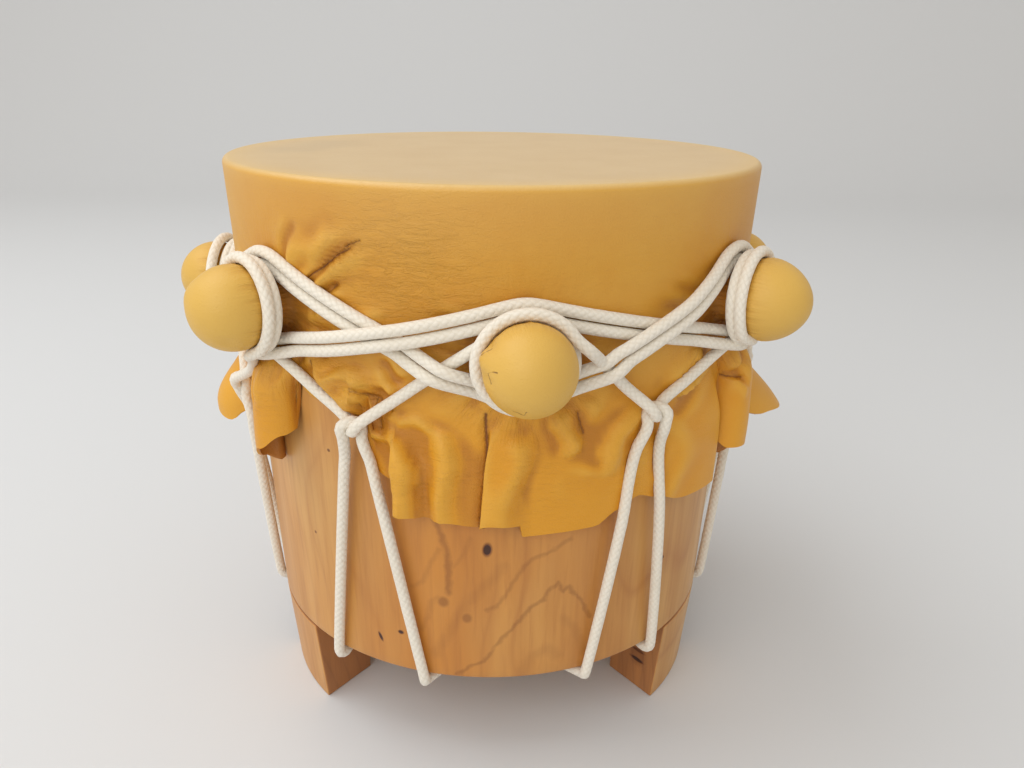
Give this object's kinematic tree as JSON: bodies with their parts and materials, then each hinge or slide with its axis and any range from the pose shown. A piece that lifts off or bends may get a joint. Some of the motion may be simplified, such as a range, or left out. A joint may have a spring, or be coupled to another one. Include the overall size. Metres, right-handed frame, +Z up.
{
  "type": "water drum",
  "caption": "Small hollow wooden water drum on wedge feet, its soft hide head tied down over hidden balls with round braided cord that laces under the base.",
  "frame": {"origin": "on the floor plane under the middle of the overall length and width", "axes": "+Z up, out of the drum's head; -Y towards the front, where one tied knob faces the viewer and the two front feet stand left and right"},
  "size_m": [0.3102, 0.3064, 0.2612],
  "materials": {
    "vessel": "honey-coloured wood with a thin satin finish",
    "foot_left": "the same wood, with darker, redder cut faces",
    "foot_right": "the same wood, with darker, redder cut faces",
    "foot_back": "the same wood, with darker, redder cut faces",
    "hide": "soft yellow-ochre tanned hide, matt",
    "ball_1": "plain, hidden inside the leather",
    "ball_2": "plain, hidden inside the leather",
    "ball_3": "plain, hidden inside the leather",
    "ball_4": "plain, hidden inside the leather",
    "ball_5": "plain, hidden inside the leather",
    "ball_6": "plain, hidden inside the leather",
    "ball_7": "plain, hidden inside the leather",
    "knob_cord": "round braided cotton cord, off-white",
    "wrap_cord": "round braided cotton cord, off-white",
    "lacing_cord": "round braided cotton cord, off-white"
  },
  "bodies": {
    "root": {"vessel": "vessel", "foot_left": "foot_left", "foot_right": "foot_right", "foot_back": "foot_back", "hide": "hide", "ball_1": "ball_1", "ball_2": "ball_2", "ball_3": "ball_3", "ball_4": "ball_4", "ball_5": "ball_5", "ball_6": "ball_6", "ball_7": "ball_7", "knob_cord": "knob_cord", "wrap_cord": "wrap_cord", "lacing_cord": "lacing_cord"}
  },
  "joints": []
}
